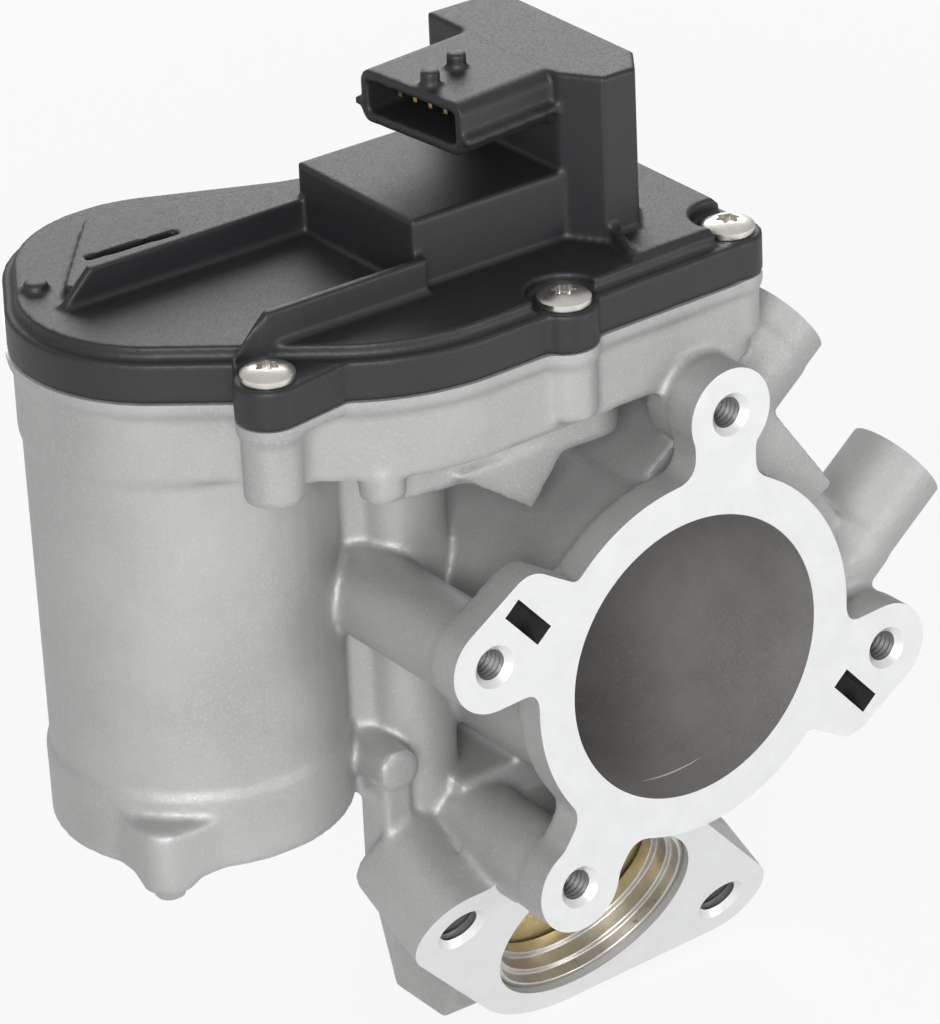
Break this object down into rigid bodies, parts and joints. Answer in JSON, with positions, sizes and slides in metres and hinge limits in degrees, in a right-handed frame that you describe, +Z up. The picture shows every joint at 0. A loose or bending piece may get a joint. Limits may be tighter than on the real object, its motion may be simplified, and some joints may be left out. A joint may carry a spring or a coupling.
{
  "type": "egr valve",
  "caption": "Motor-driven exhaust gas recirculation valve with a swing flap, gear train, cast aluminium housing and black plastic gear cover.",
  "frame": {"origin": "axis of the main air bore in the plane of the front flange face", "axes": "-Y out of the front flange along the bore axis, +Z up along the motor axis, +X towards the coolant stubs"},
  "size_m": [0.1442, 0.093, 0.1684],
  "materials": {
    "cast_aluminium": "satin",
    "black_plastic": "matt",
    "stainless": "satin",
    "steel": "satin",
    "gold_coated": "satin",
    "bronze": "satin",
    "copper": "satin",
    "rubber": "matt",
    "gear_plastic": "matt",
    "dark_plastic": "matt",
    "magnet": "matt",
    "core_steel": "matt",
    "board": "gloss"
  },
  "bodies": {
    "housing": {"main_housing": "cast_aluminium", "seat_sleeve": "stainless", "shaft_bush_lower": "bronze", "shaft_bush_upper": "bronze", "shaft_seal": "rubber", "rear_gasket": "rubber", "rear_cover": "cast_aluminium", "rear_cover_screws": "stainless", "return_spring": "steel", "spring_post": "steel", "stop_pin": "steel", "idler_pin": "steel", "motor_case": "steel", "motor_magnets": "magnet", "motor_bearing_lower": "bronze", "motor_bearing_upper": "bronze", "brush_holder": "dark_plastic", "brushes": "magnet", "wave_washer": "steel", "motor_plate": "steel", "motor_plate_screws": "stainless", "motor_terminals": "copper", "gearbox_cover": "black_plastic", "cover_seal": "rubber", "cover_bushes": "steel", "cover_screws": "stainless", "sensor_board": "board", "hall_sensor": "dark_plastic", "connector_terminals": "gold_coated", "outlet_o_ring": "rubber", "coolant_plug": "steel"},
    "flap": {"flap_disc": "gold_coated", "flap_rivet": "stainless", "flap_arm": "stainless", "valve_shaft": "stainless", "sector_gear": "dark_plastic", "sensor_magnet": "magnet"},
    "idler": {"idler_gear": "gear_plastic"},
    "rotor": {"motor_pinion": "steel", "motor_shaft": "steel", "armature_core": "core_steel", "armature_winding": "copper", "commutator": "copper"}
  },
  "joints": [
    {"name": "flap_swing", "type": "hinge", "parent": "housing", "child": "flap", "pos_m": [-0.0295, 0.036, 0], "axis": [0, 0, 1], "range_deg": [0, 50]},
    {"name": "idler_spin", "type": "hinge", "parent": "housing", "child": "idler", "pos_m": [-0.04698, 0.06136, 0.05], "axis": [0, 0, 1], "range_deg": [-271, 0.5]},
    {"name": "rotor_spin", "type": "hinge", "parent": "housing", "child": "rotor", "pos_m": [-0.059, 0.0505, 0], "axis": [0, 0, 1], "range_deg": [-1, 774]}
  ],
  "couplings": [
    {"joint": "idler_spin", "follows": "flap_swing", "ratio": -5.4167},
    {"joint": "rotor_spin", "follows": "flap_swing", "ratio": 15.476}
  ]
}
